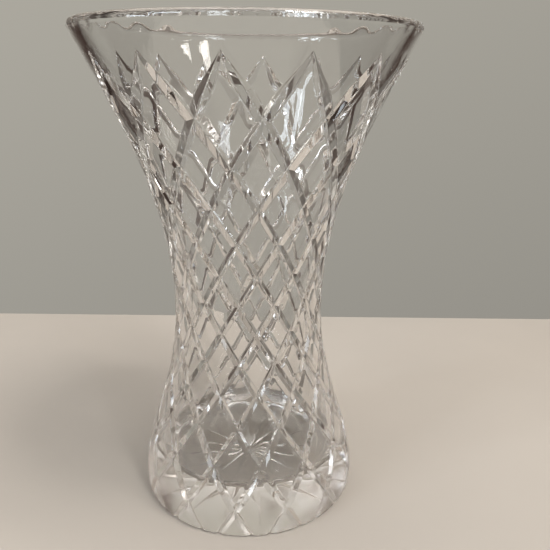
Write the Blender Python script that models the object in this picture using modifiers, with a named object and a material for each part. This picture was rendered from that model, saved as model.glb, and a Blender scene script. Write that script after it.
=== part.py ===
"""A cut crystal vase: one piece of clear lead glass, turned to a waisted trumpet, then cut.

The body stands on +Z with its origin at the middle of the underside. Two families of mitre cuts climb
the wall in opposite hands and cross to leave diamonds. Thumb cuts scallop the outside of the rim, and a
star is cut into the underside of the thick foot.
"""

import math

import bmesh
import bpy
import numpy as np
from mathutils import Matrix, Vector

MM = 0.001

# The blank, as it leaves the glass blower
HEIGHT = 250 * MM
OUTLINE = (  # height above the table and outside radius, from foot to rim
    (0 * MM, 60.6 * MM),
    (25 * MM, 58.1 * MM),
    (50 * MM, 50.5 * MM),
    (100 * MM, 40.5 * MM),
    (150 * MM, 44.5 * MM),
    (200 * MM, 60.5 * MM),
    (250 * MM, 84.4 * MM),
)
FOOT_THICKNESS = 19 * MM
FLOOR_CORNER = 9 * MM
WALL_AT_FOOT = 7.2 * MM
WALL_AT_RIM = 5.2 * MM
CAVITY_SIDES = 42
CAVITY_STEPS = 13  # heights at which the cavity follows the curve of the wall
CORNER_STEPS = 4

# The lattice of mitre cuts
CUTS = 14  # cuts of each hand
CLIMB = 1.71  # way up the wall for each unit of way around it
TOP_CROSSING = 233.6 * MM  # height where the highest pairs of cuts meet in a point
LAST_ROW = 13  # crossings that lie below the foot, so that every cut runs out over its edge
HALF_CUT = 0.11  # half the width of a cut, as a share of the spacing of the cuts
CUT_DEPTH = 0.036  # as a share of the body's radius
FADE_HEIGHT = 30 * MM  # below this height the cuts grow shallower
DEPTH_AT_TABLE = 0.4  # share of their depth that is left at the table
BELOW_FOOT = -45 * MM  # how far down the lattice is worked out before the foot trims it

# The rim
THUMB_CUTS = 3 * CUTS
THUMB_DEPTH = 0.9 * MM
THUMB_HEIGHT = 8 * MM
THUMB_PART_WAY = 0.75  # share of their depth that the thumb cuts have halfway down
THUMB_ON_TOP = 0.5  # share of their depth left at the inner edge of the rim's rounding
RIM_ROUNDING = 1.6 * MM
PLAIN_BAND = 2 * MM  # uncut glass between the highest crossings and the first full circle

# The star under the foot
STAR_POINTS = 16
STAR_RADIUS = 57.5 * MM
STAR_HALF_WIDTH = 5 * MM
STAR_DEPTH = 1.8 * MM
STAR_TURN = math.pi / CUTS - math.pi / 2  # one point lies half a spacing of the cuts from the -Y side

CLEAR_PAST = 6 * MM  # how far a cutter stands out of the glass


def outside_radius(z):
    """Radius of the uncut wall at a height: the smooth curve through the outline's points."""
    heights, radii = np.array(OUTLINE).T
    curve = np.polynomial.Polynomial.fit(heights, radii, len(OUTLINE) - 1)
    return curve(np.clip(z, heights[0], None))


def wall_slope(z):
    """How fast the outside radius grows with height."""
    step = 0.5 * MM
    return (outside_radius(z + step) - outside_radius(z - step)) / (2 * step)


def inside_radius(z):
    """Radius of the cavity at a height above its rounded corner."""
    share = z / HEIGHT
    return outside_radius(z) - WALL_AT_FOOT * (1 - share) - WALL_AT_RIM * share


def lattice_heights():
    """Heights and their row numbers. Every cut climbs at one angle, so rows crowd at the waist."""
    z = np.linspace(HEIGHT, BELOW_FOOT, 3000)
    per_row = CLIMB * outside_radius(z) * math.pi / CUTS
    rows_per_metre = np.hypot(1, wall_slope(z)) / per_row
    rows = np.concatenate([[0], np.cumsum((rows_per_metre[1:] + rows_per_metre[:-1]) / 2 * -np.diff(z))])
    return z, rows - np.interp(-TOP_CROSSING, -z, rows)


HEIGHTS, ROWS = lattice_heights()


def wall_point(row, turn, depth):
    """A point of the wall by row of crossings and half spacings around, sunk by a share of the radius."""
    z = np.interp(row, ROWS, HEIGHTS)
    depth *= np.interp(z, (0, FADE_HEIGHT), (DEPTH_AT_TABLE, 1))
    radius, slope = outside_radius(z), wall_slope(z)
    sink = depth * radius / math.hypot(1, slope)
    around = turn * math.pi / CUTS
    radius -= sink
    return Vector((radius * math.sin(around), -radius * math.cos(around), z + sink * slope))


class Lattice:
    """The cut wall. A crossing lies where a right-hand cut and a left-hand cut both pass."""

    def __init__(self, bm):
        self.bm, self.verts = bm, {}

    def vert(self, row, turn, right, left):
        """The vertex that lies right and left of a crossing, in spacings of the cuts."""
        sunk = right == 0 or left == 0
        next_right, next_left = right > 0.5, left > 0.5
        in_crossing = max(abs(right - next_right), abs(left - next_left)) < 0.5
        if in_crossing and row + next_right + next_left == 0:  # the cuts run out in a point here
            right, left, sunk = next_right, next_left, False
        row, turn = row + right + left, turn + right - left
        key = (round(row, 3), round(turn, 3) % (2 * CUTS))
        if key not in self.verts:
            self.verts[key] = self.bm.verts.new(wall_point(row, turn, CUT_DEPTH * sunk))
        return self.verts[key]

    def face(self, row, turn, *places):
        """A face by its corners, each (right, left) of the crossing. One that is only a line is left out."""
        corners = []
        for right, left in places:
            vert = self.vert(row, turn, right, left)
            if vert not in corners:
                corners.append(vert)
        if len(corners) > 2:
            self.bm.faces.new(corners)

    def crossing(self, row, turn):
        """Where two cuts pass through each other: eight flanks that fall to the middle."""
        h = HALF_CUT
        around = [(h, 0), (h, h), (0, h), (-h, h), (-h, 0), (-h, -h), (0, -h), (h, -h)]
        for here, after in zip(around, around[1:] + around[:1]):
            self.face(row, turn, (0, 0), here, after)

    def runs(self, row, turn):
        """The two flanks of each cut on its way down to the next crossing."""
        h = HALF_CUT
        for side in (-h, h):
            self.face(row, turn, (0, h), (side, h), (side, 1 - h), (0, 1 - h))
            self.face(row, turn, (h, 0), (h, side), (1 - h, side), (1 - h, 0))

    def diamond(self, row, turn, sides=(0, 1, 2, 3)):
        """The uncut glass below a crossing, raised in the middle as the wall is round."""
        h = HALF_CUT
        corners = [(h, h), (1 - h, h), (1 - h, 1 - h), (h, 1 - h)]
        for side in sides:
            self.face(row, turn, (0.5, 0.5), corners[side], corners[(side + 1) % 4])

    def build(self):
        """Every row from the top points to below the foot. Returns the vertices along the top."""
        for row in range(-1, LAST_ROW + 1):
            for column in range(CUTS):
                turn = 2 * column + row % 2
                if row < 0:  # above the points the glass is plain, so only the diamond's lower half is here
                    self.diamond(row, turn, sides=(1, 2))
                    continue
                if row:
                    self.crossing(row, turn)
                self.runs(row, turn)
                self.diamond(row, turn)
        return [v for (row, _), v in self.verts.items() if row == 0]


def rim_ring(bm, z, radius, thumb):
    """One ring of the rim's outside, drawn in by the thumb cuts between their ridges."""
    count = 2 * THUMB_CUTS
    ring = []
    for k in range(count):
        around = 2 * math.pi * k / count
        r = radius - thumb * (k % 2)
        ring.append(bm.verts.new((r * math.sin(around), -r * math.cos(around), z)))
    return [bm.edges.new((ring[k], ring[(k + 1) % count])) for k in range(count)]


def rim(bm, below):
    """The plain band, the thumb cuts and the rounded lip, closed with a flat top."""
    bottom = TOP_CROSSING + PLAIN_BAND
    lip = HEIGHT - RIM_ROUNDING
    rings = (
        (bottom, outside_radius(bottom), 0),
        (HEIGHT - THUMB_HEIGHT, outside_radius(HEIGHT - THUMB_HEIGHT), 0),
        (HEIGHT - THUMB_HEIGHT / 2, outside_radius(HEIGHT - THUMB_HEIGHT / 2), THUMB_DEPTH * THUMB_PART_WAY),
        (lip, outside_radius(lip), THUMB_DEPTH),
        (HEIGHT, outside_radius(lip) - RIM_ROUNDING, THUMB_DEPTH * THUMB_ON_TOP),
    )
    for z, radius, thumb in rings:
        above = rim_ring(bm, z, radius, thumb)
        bmesh.ops.bridge_loops(bm, edges=below + above)
        below = above
    bmesh.ops.contextual_create(bm, geom=below)


def top_edges(verts):
    """The edges that join the vertices along the top of the lattice."""
    wanted = set(verts)
    around = {edge for vert in verts for edge in vert.link_edges}
    return [edge for edge in around if edge.is_boundary and wanted.issuperset(edge.verts)]


def trim_to_foot(bm):
    """Cuts the wall off level with the table and closes it with a flat underside."""
    everything = bm.verts[:] + bm.edges[:] + bm.faces[:]
    table = {"plane_co": (0, 0, 0), "plane_no": (0, 0, 1)}
    bmesh.ops.bisect_plane(bm, geom=everything, dist=1e-6, clear_inner=True, **table)
    bmesh.ops.contextual_create(bm, geom=[e for e in bm.edges if e.is_boundary])


def add_object(name, mesh, collection, cutter=False):
    """Puts a mesh in a collection. A cutter is only a guide."""
    thing = bpy.data.objects.new(name, mesh)
    collection.objects.link(thing)
    if cutter:
        thing.hide_render = True
        thing.display_type = "WIRE"
    return thing


def mesh_from(bm, name):
    """Closes off a bmesh as a mesh with its faces pointing out."""
    bmesh.ops.recalc_face_normals(bm, faces=bm.faces)
    mesh = bpy.data.meshes.new(name)
    bm.to_mesh(mesh)
    bm.free()
    return mesh


def cavity_outline():
    """The cavity's outline from above the rim down to the middle of its floor."""
    corner_z = FOOT_THICKNESS + FLOOR_CORNER
    heights = np.linspace(HEIGHT - RIM_ROUNDING, corner_z, CAVITY_STEPS)
    top = inside_radius(heights[0])
    points = [(0, HEIGHT + CLEAR_PAST), (top + RIM_ROUNDING + CLEAR_PAST, HEIGHT + CLEAR_PAST)]
    points += [(inside_radius(z), z) for z in heights]
    wall = inside_radius(corner_z)
    for step in range(1, CORNER_STEPS + 1):
        angle = math.pi / 2 * step / CORNER_STEPS
        inward = FLOOR_CORNER * (1 - math.cos(angle))
        points.append((wall - inward, corner_z - FLOOR_CORNER * math.sin(angle)))
    return points + [(0, FOOT_THICKNESS)]


def turned(name, outline, steps, collection):
    """A solid turned about Z from an outline of (radius, height) that runs top to bottom."""
    bm = bmesh.new()
    verts = [bm.verts.new((x, 0, z)) for x, z in outline]
    for upper, lower in zip(verts, verts[1:]):
        bm.edges.new((upper, lower))
    mesh = bpy.data.meshes.new(name)
    bm.to_mesh(mesh)
    bm.free()
    thing = add_object(name, mesh, collection, cutter=True)
    screw = thing.modifiers.new("Turn", "SCREW")
    screw.steps = screw.render_steps = steps
    screw.use_merge_vertices = True
    screw.merge_threshold = 0.0001
    return thing


def star_cutter(name, turn, collection):
    """A long lozenge that cuts two opposite points of the star, deepest at the middle of the foot."""
    bm = bmesh.new()
    past = STAR_DEPTH + CLEAR_PAST
    share = past / STAR_DEPTH
    tip = Vector((STAR_RADIUS * share, 0, -CLEAR_PAST))
    side = Vector((0, STAR_HALF_WIDTH * share, -CLEAR_PAST))
    ridge = bm.verts.new((0, 0, STAR_DEPTH))
    corners = [bm.verts.new(p) for p in (tip, side, Vector((-tip.x, 0, tip.z)), Vector((0, -side.y, side.z)))]
    for here, after in zip(corners, corners[1:] + corners[:1]):
        bm.faces.new((ridge, here, after))
    bm.faces.new(corners)
    thing = add_object(name, mesh_from(bm, name), collection, cutter=True)
    thing.matrix_world = Matrix.Rotation(turn, 4, "Z")
    return thing


def crystal():
    """Clear polished lead glass."""
    material = bpy.data.materials.new("crystal")
    material.use_nodes = True
    shader = material.node_tree.nodes["Principled BSDF"]
    shader.inputs["Base Color"].default_value = (0.93, 0.94, 0.93, 1)
    shader.inputs["Metallic"].default_value = 0.0
    shader.inputs["Roughness"].default_value = 0.02
    shader.inputs["IOR"].default_value = 1.55
    shader.inputs["Transmission Weight"].default_value = 1.0
    return material


def vase_body(collection, cutters):
    """The vase: the cut outside, hollowed and starred by the cutters."""
    bm = bmesh.new()
    top = Lattice(bm).build()
    rim(bm, top_edges(top))
    trim_to_foot(bm)
    body = add_object("vase_body", mesh_from(bm, "vase_body"), collection)
    body.data.materials.append(crystal())
    cut = body.modifiers.new("Hollow and star", "BOOLEAN")
    cut.operation = "DIFFERENCE"
    cut.operand_type = "COLLECTION"
    cut.collection = cutters
    cut.solver = "EXACT"
    return body


def main():
    for thing in list(bpy.data.objects):
        bpy.data.objects.remove(thing)
    vase = bpy.data.collections.new("cut_crystal_vase")
    cutters = bpy.data.collections.new("cutters")
    bpy.context.scene.collection.children.link(vase)
    bpy.context.scene.collection.children.link(cutters)
    turned("cavity_cutter", cavity_outline(), CAVITY_SIDES, cutters)
    for k in range(STAR_POINTS // 2):
        star_cutter(f"star_cutter_{k + 1}", STAR_TURN + 2 * math.pi * k / STAR_POINTS, cutters)
    vase_body(vase, cutters)


main()
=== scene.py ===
"""The looks of the cut crystal vase: one clear piece of cut lead glass on a pale table."""
import math

import bmesh
import bpy
import numpy as np
from mathutils import Matrix, Vector


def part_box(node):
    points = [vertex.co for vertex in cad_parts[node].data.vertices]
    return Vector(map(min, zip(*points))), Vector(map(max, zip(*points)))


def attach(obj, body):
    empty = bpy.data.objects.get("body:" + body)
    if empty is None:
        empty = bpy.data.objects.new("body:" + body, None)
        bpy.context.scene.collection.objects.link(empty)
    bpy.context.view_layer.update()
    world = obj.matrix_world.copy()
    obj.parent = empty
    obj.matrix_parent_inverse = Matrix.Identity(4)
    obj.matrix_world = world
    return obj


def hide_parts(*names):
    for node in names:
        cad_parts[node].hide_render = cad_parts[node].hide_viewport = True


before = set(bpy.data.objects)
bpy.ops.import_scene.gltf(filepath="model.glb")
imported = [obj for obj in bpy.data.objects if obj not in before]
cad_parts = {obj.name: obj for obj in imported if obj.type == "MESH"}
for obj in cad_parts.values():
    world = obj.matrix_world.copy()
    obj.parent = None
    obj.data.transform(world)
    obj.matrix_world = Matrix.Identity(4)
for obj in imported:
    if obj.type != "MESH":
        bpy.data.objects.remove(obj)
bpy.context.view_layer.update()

MM = 0.001
LOW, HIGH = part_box("vase_body")
HEIGHT = HIGH[2] - LOW[2]

# The blank. Heights and radii are shares of the vase's height.
OUTLINE = (
    (0.0, 0.2424),
    (0.1, 0.2324),
    (0.2, 0.2020),
    (0.4, 0.1620),
    (0.6, 0.1780),
    (0.8, 0.2420),
    (1.0, 0.3376),
)
FOOT_THICKNESS = 19 * MM
FLOOR_CORNER = 9 * MM  # height of the cavity's rounded corner
FLOOR_CORNER_WIDTH = 14 * MM
WALL_AT_FOOT = 7.2 * MM
WALL_AT_RIM = 5.2 * MM
FOOT_ARRIS = 0.8 * MM  # rounding of the edge that stands on the table
WORN_HEIGHT = 1.2 * MM  # below this height the foot is rubbed dull
RIPPLE = 0.10 * MM  # unevenness of the blown inside
RIPPLE_START = 36 * MM  # the cavity runs true below this height
RIPPLE_WAVES = ((3, 9, 1.0), (7, -21, 0.6), (2, 38, 0.5))  # lobes around, radians over the height, strength
CREASE = math.radians(25)  # steeper edges than this are drawn sharp

# The lattice of mitre cuts
CUTS = 14
CLIMB = 1.71  # distance up the wall for each distance around it
TOP_CROSSING = 233.6 * MM
TOP_REACH = 2.5 * MM  # how much further up the highest points were cut
LAST_ROW = 13  # the lowest row of cells lies wholly below the table
HALF_CUT = 0.11  # half a cut's width, in spacings of the cuts
CUT_DEPTH = 0.036  # as a share of the wall's radius
FADE_HEIGHT = 30 * MM  # below this height the cuts grow shallower and a little narrower
DEPTH_AT_TABLE = 0.4
WIDTH_AT_TABLE = 0.7
ARRIS = 0.018  # half the rounding of a cut's edge, in spacings of the cuts
VALLEY = 0.016  # half the rounding of a cut's bottom, likewise
RUN_OUT = 0.45  # rows over which the highest cuts narrow to a point
TIP = 0.03  # rows below the highest crossings where the cuts begin
FLAT_LINES = (0.22, 0.36)  # lines of the grid across the uncut flat of a diamond
BELOW_FOOT = -45 * MM  # the lattice is laid out down to here, and trimmed later
NEAR = 1e-6  # two lines closer than this count as one

# The rim
THUMB_CUTS = 3 * CUTS
THUMB_DEPTH = 0.5 * MM
THUMB_HEIGHT = 8 * MM
THUMB_STEPS = 8
THUMB_HOLLOW = 0.9  # share of a thumb cut's depth that is gone at its two sides
LIP = 3 * MM  # height of the lip's rounding
CLEAR_OF_POINTS = 2 * MM  # from the highest points up to the plain band's first ring
BAND_RINGS = 12
LIP_RINGS = 12
INSIDE_RINGS = 55
CORNER_RINGS = 8
FLOOR_RINGS = (0.75, 0.5, 0.25, 0.1)  # shares of the flat floor's radius

# The star under the foot
STAR_POINTS = 16
STAR_RADIUS = 57.5 * MM
STAR_HALF_WIDTH = 5 * MM
STAR_DEPTH = 1.8 * MM
STAR_TURN = math.pi / CUTS - math.pi / 2  # one point lies half a spacing of the cuts from the -Y side

OUTLINE_CURVE = np.polynomial.Polynomial.fit(*np.array(OUTLINE).T * HEIGHT, len(OUTLINE) - 1)


# ---------------------------------------------------------------- the shape of the wall
def outside_radius(z):
    """Radius of the uncut wall at a height."""
    return OUTLINE_CURVE(np.clip(z, 0, None))


def wall_slope(z):
    """How fast the outside radius grows with height."""
    step = 0.5 * MM
    return (outside_radius(z + step) - outside_radius(z - step)) / (2 * step)


def inside_radius(z):
    """Radius of the cavity at a height above its rounded corner."""
    share = z / HEIGHT
    return outside_radius(z) - WALL_AT_FOOT * (1 - share) - WALL_AT_RIM * share


def lattice_heights():
    """Heights and their row numbers. Every cut climbs at one angle, so rows crowd at the waist."""
    z = np.linspace(HEIGHT, BELOW_FOOT, 3000)
    per_row = CLIMB * outside_radius(z) * math.pi / CUTS
    rows_per_metre = np.hypot(1, wall_slope(z)) / per_row
    rows = np.concatenate([[0], np.cumsum((rows_per_metre[1:] + rows_per_metre[:-1]) / 2 * -np.diff(z))])
    return z, rows - np.interp(-TOP_CROSSING, -z, rows)


HEIGHTS, ROWS = lattice_heights()


def wall_points(row, turn, depth):
    """Points of the wall by row of crossings and half spacings around, sunk by a share of the radius."""
    z = np.interp(row, ROWS, HEIGHTS) + TOP_REACH * np.clip(1 - row, 0, 1) ** 2
    depth = depth * np.interp(z, (0, FADE_HEIGHT), (DEPTH_AT_TABLE, 1))
    radius, slope = outside_radius(z), wall_slope(z)
    sink = depth * radius / np.hypot(1, slope)
    angle = turn * math.pi / CUTS
    radius = radius - sink
    return np.stack([radius * np.sin(angle), -radius * np.cos(angle), z + sink * slope], axis=-1)


# ---------------------------------------------------------------- the cut outside
def cell_lines():
    """Where a cell's grid lines lie, from one cut's middle to the next, and how deep each is sunk."""
    lift = VALLEY / HALF_CUT
    half = [(0, 1 - lift / 2), (VALLEY / 2, 1 - lift * 5 / 8), (VALLEY, 1 - lift)]
    half += [(HALF_CUT - ARRIS, ARRIS / HALF_CUT), (HALF_CUT, ARRIS / HALF_CUT / 4), (HALF_CUT + ARRIS, 0)]
    half += [(at, 0) for at in FLAT_LINES]
    whole = half + [(0.5, 0)] + [(1 - at, flank) for at, flank in reversed(half)]
    return np.array(whole).T


LINES, FLANKS = cell_lines()
EDGE = HALF_CUT + ARRIS


def narrowed(line, width):
    """Moves a line of the grid in with its cut, where the cut has only a share of its width."""
    offset = np.where(line > 0.5, line - 1, line)
    size = np.abs(offset)
    near = size * width
    far = EDGE * width + (size - EDGE) * (0.5 - EDGE * width) / (0.5 - EDGE)
    moved = np.sign(offset) * np.where(size <= EDGE, near, far)
    return np.where(line > 0.5, moved + 1, moved)


def cell_points(row, turn):
    """The grid of one cell, from the crossing above it to the crossing below. Its sides run down two cuts.

    Returns the points, and for each a key that it shares with the neighbouring cells' points at its place.
    """
    right, left = np.meshgrid(LINES, LINES, indexing="ij")
    right_flank, left_flank = np.meshgrid(FLANKS, FLANKS, indexing="ij")
    place = row + right + left
    run_out = np.clip((place - TIP) / RUN_OUT, 0, 1)
    width = run_out * np.interp(np.interp(place, ROWS, HEIGHTS), (0, FADE_HEIGHT), (WIDTH_AT_TABLE, 1))
    right, left = narrowed(right, width), narrowed(left, width)
    depth = CUT_DEPTH * run_out * np.maximum(right_flank, left_flank)
    last = len(LINES) - 1
    i, j = np.indices(right.shape)
    in_tip = (right % 1 == 0) & (left % 1 == 0)
    along_right = (row + turn) // 2 * last + np.where(in_tip, right * last, i)
    along_left = (row - turn) // 2 * last + np.where(in_tip, left * last, j)
    keys = np.stack([along_right + along_left, (along_right - along_left) % (2 * CUTS * last)], axis=-1)
    return wall_points(row + right + left, turn + right - left, depth), keys.astype(int)


def cell_faces(upper_half_missing):
    """Faces of a cell's grid, as pairs of line numbers. Where two cuts meet, they are split on the crease."""
    last = len(LINES) - 1
    faces = []
    for i in range(last):
        for j in range(last):
            a, b, c, d = (i, j), (i + 1, j), (i + 1, j + 1), (i, j + 1)
            in_cut = LINES[i + 1] <= EDGE + NEAR or LINES[i] >= 1 - EDGE - NEAR
            if upper_half_missing and i + j < last - 1:
                continue
            if upper_half_missing and i + j == last - 1:
                faces.append((b, c, d))
            elif i == j and in_cut:
                faces += [(a, b, c), (a, c, d)]
            elif i + j == last - 1 and in_cut:
                faces += [(a, b, d), (b, c, d)]
            else:
                faces.append((a, b, c, d))
    return faces


def add_lattice(bm):
    """Every cell of the cut wall, with halves above the highest crossings. Returns the top's vertices."""
    grid, made, top = len(LINES), {}, set()
    whole, lower_half = cell_faces(False), cell_faces(True)
    for row in range(-1, LAST_ROW + 1):
        for column in range(CUTS):
            turn = 2 * column + row % 2
            points, keys = cell_points(row, turn)
            faces = lower_half if row < 0 else whole
            verts = {}
            for i, j in {corner for face in faces for corner in face}:
                key = tuple(keys[i, j])
                if key not in made:
                    made[key] = bm.verts.new(points[i, j])
                verts[i, j] = made[key]
                if row < 0 and i + j == grid - 1:
                    top.add(verts[i, j])
            for face in faces:
                corners = list(dict.fromkeys(verts[corner] for corner in face))
                if len(corners) > 2 and bm.faces.get(corners) is None:
                    bm.faces.new(corners)
    return top


# ---------------------------------------------------------------- turned rings
def band(bm, lower, upper):
    """Quads between two rings of as many vertices."""
    for k in range(len(lower)):
        bm.faces.new((lower[k - 1], lower[k], upper[k], upper[k - 1]))


def around(count):
    """Angles at even steps, once around."""
    return np.arange(count) * 2 * math.pi / count


def turned_points(radius, z):
    """A ring of points, with one radius for each."""
    angle = around(len(radius))
    height = np.broadcast_to(z, radius.shape)
    return np.stack([radius * np.sin(angle), -radius * np.cos(angle), height], axis=-1)


def thumb_cut(z):
    """How far the thumb cuts sink the rim at a height: hollows side by side, deepest at the lip."""
    count = THUMB_CUTS * THUMB_STEPS
    across = (np.arange(count) % THUMB_STEPS) / THUMB_STEPS * 2 - 1
    left = np.clip(1 - (HEIGHT - z) / THUMB_HEIGHT, 0, 1)
    return THUMB_DEPTH * left ** 2 * (3 - 2 * left) * (1 - THUMB_HOLLOW * across ** 2)


def rim_rings():
    """The plain band and the thumb cuts, over the lip, and down inside to the cavity's rounded corner."""
    count = THUMB_CUTS * THUMB_STEPS
    ones = np.ones(count)
    lip_z = HEIGHT - LIP
    rings = []
    band_z = np.linspace(HEIGHT - THUMB_HEIGHT - 1 * MM, lip_z, BAND_RINGS)
    for z in (TOP_CROSSING + TOP_REACH + CLEAR_OF_POINTS, *band_z):
        rings.append((outside_radius(z) * ones - thumb_cut(z), z))
    outer = outside_radius(lip_z) * ones - thumb_cut(lip_z)
    inner = inside_radius(lip_z)
    middle, half = (outer + inner) / 2, (outer - inner) / 2
    for angle in np.radians(np.linspace(0, 180, LIP_RINGS + 1)[1:]):
        rings.append((middle + half * math.cos(angle), lip_z + LIP * math.sin(angle)))
    corner_z = FOOT_THICKNESS + FLOOR_CORNER
    for z in np.linspace(lip_z, corner_z, INSIDE_RINGS + 1)[1:]:
        rings.append((inside_radius(z) * ones - ripple(z, count), z))
    wall = inside_radius(corner_z)
    for angle in np.radians(np.linspace(0, 90, CORNER_RINGS + 1)[1:]):
        inward = FLOOR_CORNER_WIDTH * (1 - math.cos(angle))
        rings.append(((wall - inward) * ones, corner_z - FLOOR_CORNER * math.sin(angle)))
    floor = wall - FLOOR_CORNER_WIDTH
    for share in FLOOR_RINGS:
        rings.append((floor * share * ones, FOOT_THICKNESS))
    return rings


def ripple(z, count):
    """Slow unevenness of the blown inside wall, which still runs true at its two ends."""
    angle = around(count)
    share = z / HEIGHT
    wave = sum(strength * np.sin(lobes * angle + drift * share) for lobes, drift, strength in RIPPLE_WAVES)
    along = np.clip((z - RIPPLE_START) / (HEIGHT - RIPPLE_START), 0, 1)
    return RIPPLE * wave * math.sin(math.pi * along) ** 0.5


def add_rim_and_cavity(bm, top):
    """Everything above the lattice, and down inside to the middle of the cavity's floor."""
    rings = [[bm.verts.new(p) for p in turned_points(radius, z)] for radius, z in rim_rings()]
    for lower, upper in zip(rings, rings[1:]):
        band(bm, lower, upper)
    bm.faces.new(rings[-1])
    first = [bm.edges.get((rings[0][k - 1], rings[0][k])) for k in range(len(rings[0]))]
    bmesh.ops.bridge_loops(bm, edges=top + first)


# ---------------------------------------------------------------- the foot
def trim_to_foot(bm):
    """Cuts the wall off level with the table, and rounds the edge it stands on."""
    for level in (FOOT_ARRIS, 0.5 * FOOT_ARRIS, 0.2 * FOOT_ARRIS, 0):
        bmesh.ops.bisect_plane(
            bm,
            geom=bm.verts[:] + bm.edges[:] + bm.faces[:],
            dist=1e-7,
            plane_co=(0, 0, level),
            plane_no=(0, 0, 1),
            clear_inner=level == 0,
        )
    for vert in bm.verts:
        if vert.co.z < FOOT_ARRIS:
            across = 1 - vert.co.z / FOOT_ARRIS
            inward = FOOT_ARRIS * (1 - math.sqrt(max(0, 1 - across * across)))
            vert.co.xy *= 1 - inward / vert.co.xy.length


def add_star(bm):
    """The star: each point deepens from its tip to the middle, and meets its neighbours in ridges."""
    edge = [e for e in bm.edges if e.is_boundary]
    half_turn = math.pi / STAR_POINTS
    notch = 1 / ((1 / STAR_RADIUS) + math.tan(half_turn) / STAR_HALF_WIDTH)  # how far out two points part
    middle = bm.verts.new((0, 0, STAR_DEPTH))
    tips, notches = [], []
    for k in range(STAR_POINTS):
        turn = Matrix.Rotation(STAR_TURN + 2 * k * half_turn, 3, "Z")
        tips.append(bm.verts.new(turn @ Vector((STAR_RADIUS, 0, 0))))
        beside = Vector((notch, notch * math.tan(half_turn), 0))
        notches.append(bm.verts.new(turn @ beside))
    for k in range(STAR_POINTS):
        bm.faces.new((middle, tips[k], notches[k]))
        bm.faces.new((middle, notches[k], tips[(k + 1) % STAR_POINTS]))
    star_edge = [e for e in bm.edges if e.is_boundary and e not in set(edge)]
    bmesh.ops.triangle_fill(bm, use_beauty=True, edges=edge + star_edge)


# ---------------------------------------------------------------- materials
def node(tree, kind, at, **values):
    """A new node at a place in the tree, with its properties."""
    made = tree.nodes.new(kind)
    made.location = at
    for name, value in values.items():
        setattr(made, name, value)
    return made


def noise(tree, coords, at, scale, detail):
    """The value of a noise texture over the object."""
    made = node(tree, "ShaderNodeTexNoise", at)
    made.inputs["Scale"].default_value = scale
    made.inputs["Detail"].default_value = detail
    tree.links.new(coords.outputs["Object"], made.inputs["Vector"])
    return made.outputs["Fac"]


def mapped(tree, source, at, start, end, highest):
    """A value that rises from nought to its highest as the source goes from its start to its end."""
    made = node(tree, "ShaderNodeMapRange", at)
    made.inputs["From Min"].default_value = start
    made.inputs["From Max"].default_value = end
    made.inputs["To Max"].default_value = highest
    tree.links.new(source, made.inputs["Value"])
    return made.outputs["Result"]


def ramp(tree, source, place, stops):
    """A colour for each value of a source, from stops of (value, colour)."""
    low, high = stops[0][0], stops[-1][0]
    share = mapped(tree, source, place, low, high, 1)
    made = node(tree, "ShaderNodeValToRGB", (place[0] + 180, place[1]))
    elements = made.color_ramp.elements
    elements[0].color, elements[1].color = (*stops[0][1], 1), (*stops[-1][1], 1)
    for value, colour in stops[1:-1]:
        elements.new((value - low) / (high - low)).color = (*colour, 1)
    tree.links.new(share, made.inputs["Fac"])
    return made.outputs["Color"]


def crystal():
    """Clear polished lead glass: faintly uneven in its melt and polish, and rubbed dull where it stands."""
    material = bpy.data.materials.new("crystal")
    material.use_nodes = True
    tree = material.node_tree
    link = tree.links.new
    shader = tree.nodes["Principled BSDF"]
    shader.inputs["IOR"].default_value = 1.55  # the textbook figure for lead crystal
    shader.inputs["Transmission Weight"].default_value = 1.0
    coords = node(tree, "ShaderNodeTexCoord", (-1300, 0))

    melt = noise(tree, coords, (-900, 260), 14, 1)
    link(ramp(tree, melt, (-640, 260), (
        (0.30, (0.984, 0.982, 0.978)),
        (0.70, (0.998, 0.998, 0.996)),
    )), shader.inputs["Base Color"])

    polish = mapped(tree, noise(tree, coords, (-900, -40), 45, 3), (-640, -40), 0.60, 0.80, 0.03)

    place = node(tree, "ShaderNodeSeparateXYZ", (-1100, -360))
    link(coords.outputs["Object"], place.inputs[0])
    worn = mapped(tree, place.outputs["Z"], (-640, -360), WORN_HEIGHT, 0, 0.25)
    rubbed = node(tree, "ShaderNodeMath", (-420, -400), operation="MULTIPLY")
    link(worn, rubbed.inputs[0])
    link(noise(tree, coords, (-900, -560), 350, 4), rubbed.inputs[1])
    roughness = node(tree, "ShaderNodeMath", (-220, -160), operation="MAXIMUM")
    link(polish, roughness.inputs[0])
    link(rubbed.outputs[0], roughness.inputs[1])
    link(roughness.outputs[0], shader.inputs["Roughness"])

    tint = node(tree, "ShaderNodeVolumeAbsorption", (0, -420))
    tint.inputs["Color"].default_value = (0.95, 0.89, 0.84, 1)
    tint.inputs["Density"].default_value = 5
    link(tint.outputs[0], tree.nodes["Material Output"].inputs["Volume"])
    return material


# ---------------------------------------------------------------- the vase
def vase():
    """The whole vase as one closed mesh, with its glass."""
    bm = bmesh.new()
    top = add_lattice(bm)
    near_top = {edge for vert in top for edge in vert.link_edges}
    top_edges = [edge for edge in near_top if edge.is_boundary and top.issuperset(edge.verts)]
    add_rim_and_cavity(bm, top_edges)
    trim_to_foot(bm)
    add_star(bm)
    bmesh.ops.recalc_face_normals(bm, faces=bm.faces)
    for face in bm.faces:
        face.smooth = True
    mesh = bpy.data.meshes.new("cut_crystal")
    bm.to_mesh(mesh)
    bm.free()
    mesh.set_sharp_from_angle(angle=CREASE)
    piece = bpy.data.objects.new("cut_crystal", mesh)
    bpy.context.scene.collection.objects.link(piece)
    weighted = piece.modifiers.new("Flat flanks", "WEIGHTED_NORMAL")
    weighted.keep_sharp = True
    weighted.weight = 100
    piece.data.materials.append(crystal())
    return piece


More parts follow.
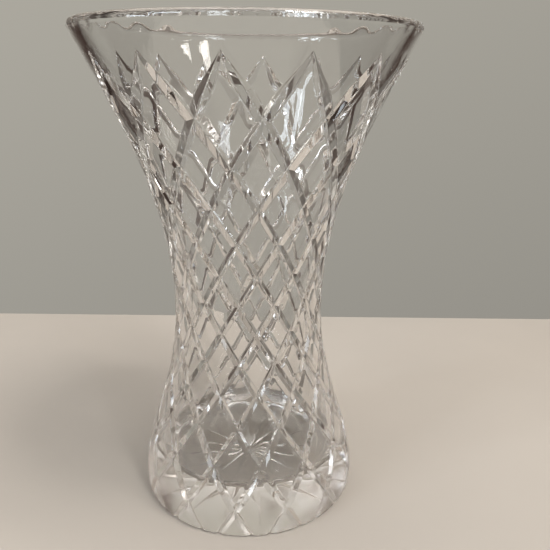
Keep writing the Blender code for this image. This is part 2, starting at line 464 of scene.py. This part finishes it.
# ---------------------------------------------------------------- camera, stage and light
CAMERA_TURN = 7.27  # degrees from the vase's -Y side
CAMERA_DISTANCE = 1.230 * HEIGHT
CAMERA_HEIGHT = 0.9167 * HEIGHT
CAMERA_YAW = 2.71  # degrees to the right of the vase's axis
CAMERA_PITCH = 19.07  # degrees below the horizon
CAMERA_ROLL = 0.61
LENS = 38.8  # millimetres, on a sensor 36 wide
BOUNCES = 32
TABLE_SIZE = (0.64, 1.2)
TABLE_BEHIND = 232 * MM  # from the vase's axis to the table's far edge
TABLE_GAP = 0.3 * MM  # keeps the table's face clear of the vase's underside


def camera():
    """The photo's camera: close, a little lower than the rim, and slightly right of the front."""
    data = bpy.data.cameras.new("camera")
    data.lens = LENS
    data.sensor_width = 36
    data.clip_start = 0.01
    cam = bpy.data.objects.new("camera", data)
    bpy.context.scene.collection.objects.link(cam)
    turn = math.radians(CAMERA_TURN)
    heading = Matrix.Rotation(turn - math.radians(CAMERA_YAW), 4, "Z")
    tilt = Matrix.Rotation(math.radians(90 - CAMERA_PITCH), 4, "X")
    roll = Matrix.Rotation(math.radians(CAMERA_ROLL), 4, "Z")
    place = Vector((CAMERA_DISTANCE * math.sin(turn), -CAMERA_DISTANCE * math.cos(turn), CAMERA_HEIGHT))
    cam.matrix_world = Matrix.Translation(place) @ heading @ tilt @ roll
    bpy.context.scene.camera = cam


def table_top():
    """Pale matt paint with a faint cloudiness and a fine orange-peel."""
    material = bpy.data.materials.new("table")
    material.use_nodes = True
    tree = material.node_tree
    shader = tree.nodes["Principled BSDF"]
    shader.inputs["Roughness"].default_value = 0.55
    coords = node(tree, "ShaderNodeTexCoord", (-1100, 0))
    cloud = noise(tree, coords, (-900, 100), 6, 4)
    tree.links.new(ramp(tree, cloud, (-640, 100), (
        (0.30, (0.46, 0.415, 0.37)),
        (0.70, (0.495, 0.445, 0.395)),
    )), shader.inputs["Base Color"])
    bump = node(tree, "ShaderNodeBump", (-300, -250))
    bump.inputs["Strength"].default_value = 0.08
    bump.inputs["Distance"].default_value = 0.2 * MM
    tree.links.new(noise(tree, coords, (-900, -250), 700, 2), bump.inputs["Height"])
    tree.links.new(bump.outputs["Normal"], shader.inputs["Normal"])
    return material


def stage():
    """A pale table that ends a little behind the vase."""
    bm = bmesh.new()
    whole = Matrix.Diagonal((*TABLE_SIZE, 1, 1))
    bmesh.ops.create_grid(bm, x_segments=1, y_segments=1, size=0.5, matrix=whole)
    mesh = bpy.data.meshes.new("table")
    bm.to_mesh(mesh)
    bm.free()
    table = bpy.data.objects.new("table", mesh)
    bpy.context.scene.collection.objects.link(table)
    turn = Matrix.Rotation(math.radians(CAMERA_TURN - CAMERA_YAW), 4, "Z")
    table.matrix_world = turn @ Matrix.Translation((0, TABLE_BEHIND - TABLE_SIZE[1] / 2, -TABLE_GAP))
    mesh.materials.append(table_top())


def area_light(name, place, aim, size, power, colour):
    """A glowing rectangle that faces the point it is aimed at."""
    data = bpy.data.lights.new(name, "AREA")
    data.shape = "RECTANGLE"
    data.size, data.size_y = size
    data.energy = power
    data.color = colour
    light = bpy.data.objects.new(name, data)
    bpy.context.scene.collection.objects.link(light)
    light.location = place
    light.rotation_euler = (Vector(aim) - Vector(place)).to_track_quat("-Z", "Y").to_euler()


def multiplied(tree, first, second, place):
    """The product of two colours."""
    mix = node(tree, "ShaderNodeMix", place, data_type="RGBA", blend_type="MULTIPLY")
    mix.inputs["Factor"].default_value = 1
    tree.links.new(first, mix.inputs["A"])
    tree.links.new(second, mix.inputs["B"])
    return mix.outputs["Result"]


def room():
    """The room around the table: grey behind the vase, dark at both sides, dim in front, light above."""
    world = bpy.data.worlds.new("room")
    world.use_nodes = True
    tree = world.node_tree
    coords = node(tree, "ShaderNodeTexCoord", (-1100, 0))
    turned = node(tree, "ShaderNodeVectorRotate", (-920, 0), rotation_type="Z_AXIS")
    turned.inputs["Angle"].default_value = math.radians(CAMERA_YAW - CAMERA_TURN)
    tree.links.new(coords.outputs["Generated"], turned.inputs["Vector"])
    parts = node(tree, "ShaderNodeSeparateXYZ", (-740, 0))
    tree.links.new(turned.outputs["Vector"], parts.inputs[0])
    height = ramp(tree, parts.outputs["Z"], (-560, 300), (
        (-1.00, (0.05, 0.03, 0.02)),
        (-0.60, (0.10, 0.07, 0.05)),
        (-0.45, (0.33, 0.315, 0.28)),
        (0.15, (0.42, 0.40, 0.35)),
        (0.30, (0.45, 0.43, 0.37)),
        (0.60, (0.52, 0.50, 0.44)),
        (0.85, (0.75, 0.73, 0.68)),
        (1.00, (2.80, 2.75, 2.65)),
    ))
    side = ramp(tree, parts.outputs["X"], (-560, 0), (
        (-1.00, (0.80, 0.80, 0.80)),
        (-0.75, (0.11, 0.075, 0.07)),
        (-0.54, (0.20, 0.15, 0.14)),
        (-0.43, (1.00, 1.00, 1.00)),
        (0.43, (0.88, 0.88, 0.88)),
        (0.54, (0.18, 0.13, 0.12)),
        (0.75, (0.11, 0.07, 0.06)),
        (1.00, (0.65, 0.65, 0.65)),
    ))
    front = ramp(tree, parts.outputs["Y"], (-560, -300), (
        (-1.00, (0.42, 0.39, 0.37)),
        (-0.40, (0.60, 0.57, 0.55)),
        (0.00, (1.00, 1.00, 1.00)),
    ))
    colour = multiplied(tree, multiplied(tree, height, side, (-160, 100)), front, (0, 0))
    tree.links.new(colour, tree.nodes["Background"].inputs["Color"])
    bpy.context.scene.world = world


def lights():
    """Cool windows at the front left and front right, and two warm-white tubes under the ceiling."""
    on_vase, left_light, right_light = (0, 0, 0.15), (0.82, 0.91, 1.0), (0.86, 0.93, 1.0)
    area_light("window_left_1", (-1.30, -0.80, 0.95), on_vase, (0.12, 1.2), 4.5, left_light)
    area_light("window_left_2", (-1.05, -1.05, 0.95), on_vase, (0.12, 1.2), 4.5, left_light)
    area_light("window_right", (0.95, -1.20, 0.95), on_vase, (0.30, 0.9), 5, right_light)
    on_neck, tube_light = (0, 0, 0.2), (1.0, 0.97, 0.92)
    area_light("ceiling_1", (0.69, -0.50, 1.85), on_neck, (0.18, 0.8), 12, tube_light)
    area_light("ceiling_2", (0.84, -0.20, 1.85), on_neck, (0.18, 0.8), 12, tube_light)


camera()
piece = vase()
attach(piece, "root")
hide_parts("vase_body")
stage()
lights()
room()
scene = bpy.context.scene
scene.cycles.max_bounces = BOUNCES
scene.cycles.glossy_bounces = BOUNCES
scene.cycles.transmission_bounces = BOUNCES
scene.view_settings.view_transform = "Standard"
